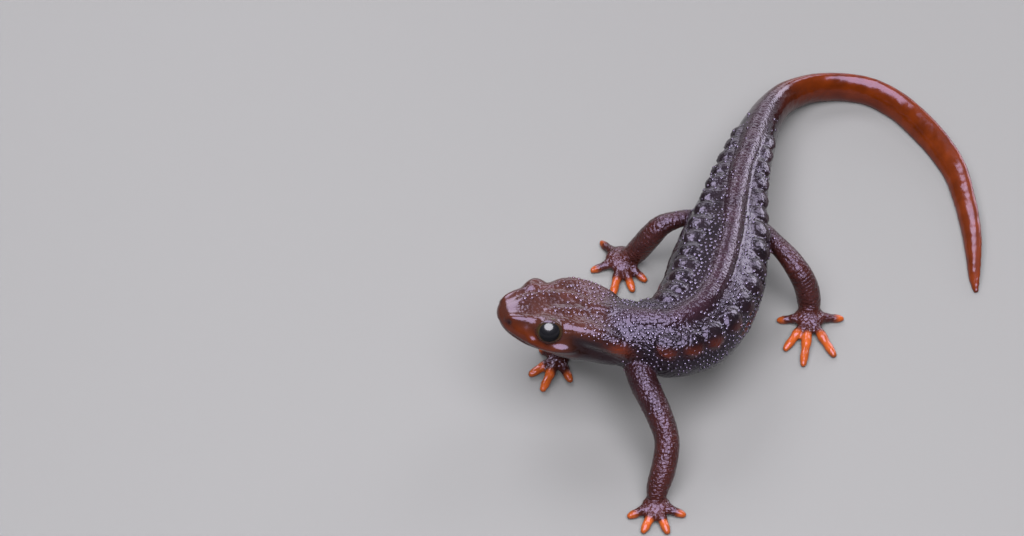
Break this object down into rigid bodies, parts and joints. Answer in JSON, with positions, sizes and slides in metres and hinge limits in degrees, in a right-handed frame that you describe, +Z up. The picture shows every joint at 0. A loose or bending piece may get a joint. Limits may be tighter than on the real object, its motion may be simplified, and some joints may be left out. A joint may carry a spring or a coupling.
{
  "type": "himalayan salamander",
  "caption": "Life-size still model of a himalayan salamander, standing on four spread feet with its head raised and its tail laid round in a curve.",
  "frame": {"origin": "middle of the animal's outline, seen from above, on the floor that it stands on", "axes": "+Z up; the snout points along -X, the animal's left foreleg reaches along -Y and its back runs away along +Y"},
  "size_m": [0.0884, 0.1032, 0.0228],
  "materials": {
    "head_skin": "wet, smooth dark red-brown skin, more orange on the snout and lips",
    "jaw_skin": "wet, smooth red-brown skin",
    "body_skin": "wet, finely granular, near-black purple-brown skin with raised nodules",
    "tail_skin": "wet, smooth rust-red skin",
    "leg_skin": "wet, finely wrinkled dark maroon skin",
    "foot_skin": "wet orange-brown skin",
    "eye": "polished black with a thin olive-yellow ring"
  },
  "bodies": {
    "root": {"head": "head_skin", "lower_jaw": "jaw_skin", "eye_left": "eye", "eye_right": "eye", "neck": "body_skin", "torso_front": "body_skin", "torso_rear": "body_skin", "tail_base": "body_skin", "tail_middle": "tail_skin", "tail_tip": "tail_skin", "foreleg_left_upper": "leg_skin", "foreleg_left_lower": "leg_skin", "foreleg_left_foot": "foot_skin", "foreleg_right_upper": "leg_skin", "foreleg_right_lower": "leg_skin", "foreleg_right_foot": "foot_skin", "hindleg_left_upper": "leg_skin", "hindleg_left_lower": "leg_skin", "hindleg_left_foot": "foot_skin", "hindleg_right_upper": "leg_skin", "hindleg_right_lower": "leg_skin", "hindleg_right_foot": "foot_skin"}
  },
  "joints": []
}
